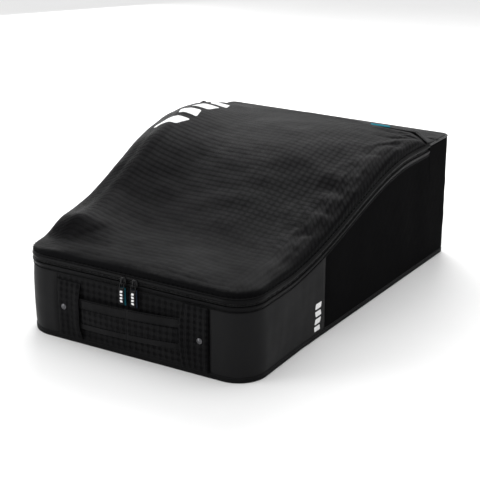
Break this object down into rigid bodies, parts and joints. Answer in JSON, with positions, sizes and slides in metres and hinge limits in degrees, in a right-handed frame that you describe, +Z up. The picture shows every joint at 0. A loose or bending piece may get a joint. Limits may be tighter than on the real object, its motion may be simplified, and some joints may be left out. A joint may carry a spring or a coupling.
{
  "type": "wedge-shaped zip bag",
  "caption": "Padded wedge-shaped travel bag with a full lid sewn at the rear, an S-shaped zip line, paired zip sliders and a riveted carry strap on the front.",
  "frame": {"origin": "centre of the base's underside", "axes": "+X to the bag's right-hand side, +Y to its rear, +Z up"},
  "size_m": [0.4572, 0.6565, 0.2572],
  "materials": {
    "grid_fabric": "black dobby fabric with a raised grid, soft sheen",
    "coated_fabric": "smooth coated black fabric, satin",
    "plain_fabric": "plain black polyester, matt",
    "base_fabric": "coarse black polyester, matt",
    "foam": "closed-cell foam, matt",
    "lining": "brushed lining, matt",
    "board": "thin stiffener board, matt",
    "binding": "folded bias binding, satin",
    "webbing": "narrow black woven tape, matt",
    "coil": "moulded nylon coil, semi-gloss",
    "dark_metal": "black lacquered zinc, gloss",
    "bright_metal": "polished nickel plate",
    "ribbon_black": "fine woven ribbon, satin",
    "ribbon_teal": "fine woven ribbon, satin"
  },
  "bodies": {
    "bag_body": {"base_binding": "binding", "base_board": "board", "base_foam": "foam", "base_lining": "lining", "base_panel": "base_fabric", "body_zip_coil": "coil", "body_zip_piping": "binding", "body_zip_tape": "webbing", "front_centre_panel": "grid_fabric", "front_corner_left": "coated_fabric", "front_corner_right": "coated_fabric", "handle_patch_left": "grid_fabric", "handle_patch_right": "grid_fabric", "handle_rivets": "bright_metal", "rear_panel": "plain_fabric", "rear_piping_left": "binding", "rear_piping_right": "binding", "rear_yoke": "plain_fabric", "rivet_caps": "bright_metal", "seam_label": "ribbon_teal", "side_panel_left": "plain_fabric", "side_panel_right": "plain_fabric", "strap_end_left": "grid_fabric", "strap_end_right": "grid_fabric", "wall_foam_front": "foam", "wall_foam_left": "foam", "wall_foam_rear": "foam", "wall_foam_right": "foam", "wall_lining": "lining", "yoke_foam": "foam", "yoke_lining": "lining", "zip_end_stops": "coil", "zip_end_tab_left": "webbing", "zip_end_tab_right": "webbing"},
    "carry_strap": {"handle_strap": "grid_fabric", "strap_binding_lower": "binding", "strap_binding_upper": "binding"},
    "lid": {"lid_foam": "foam", "lid_lining": "lining", "lid_panel": "grid_fabric", "lid_piping": "binding", "lid_zip_coil": "coil", "lid_zip_tape": "webbing"},
    "pull_left": {"pull_backing_left": "ribbon_teal", "pull_link_left": "bright_metal", "pull_ribbon_left": "ribbon_black"},
    "pull_right": {"pull_backing_right": "ribbon_teal", "pull_link_right": "bright_metal", "pull_ribbon_right": "ribbon_black"},
    "slider_left": {"slider_left": "dark_metal"},
    "slider_right": {"slider_right": "dark_metal"}
  },
  "joints": [
    {"name": "lid_hinge", "type": "hinge", "parent": "bag_body", "child": "lid", "pos_m": [0, 0.287, 0.216], "axis": [-1, 0, 0], "range_deg": [0, 105]},
    {"name": "carry_strap_bow", "type": "slide", "parent": "bag_body", "child": "carry_strap", "axis": [0, -1, 0], "range_m": [0, 0.025], "stiffness_N_per_m": 200},
    {"name": "slider_left_slide", "type": "slide", "parent": "bag_body", "child": "slider_left", "axis": [-1, 0, 0], "range_m": [0, 0.13]},
    {"name": "pull_left_swing", "type": "hinge", "parent": "slider_left", "child": "pull_left", "pos_m": [-0.01, -0.3282, 0.1172], "axis": [-1, 0, 0], "range_deg": [0, 120]},
    {"name": "slider_right_slide", "type": "slide", "parent": "bag_body", "child": "slider_right", "axis": [1, 0, 0], "range_m": [0, 0.13]},
    {"name": "pull_right_swing", "type": "hinge", "parent": "slider_right", "child": "pull_right", "pos_m": [0.01, -0.3282, 0.1172], "axis": [-1, 0, 0], "range_deg": [0, 120]}
  ]
}
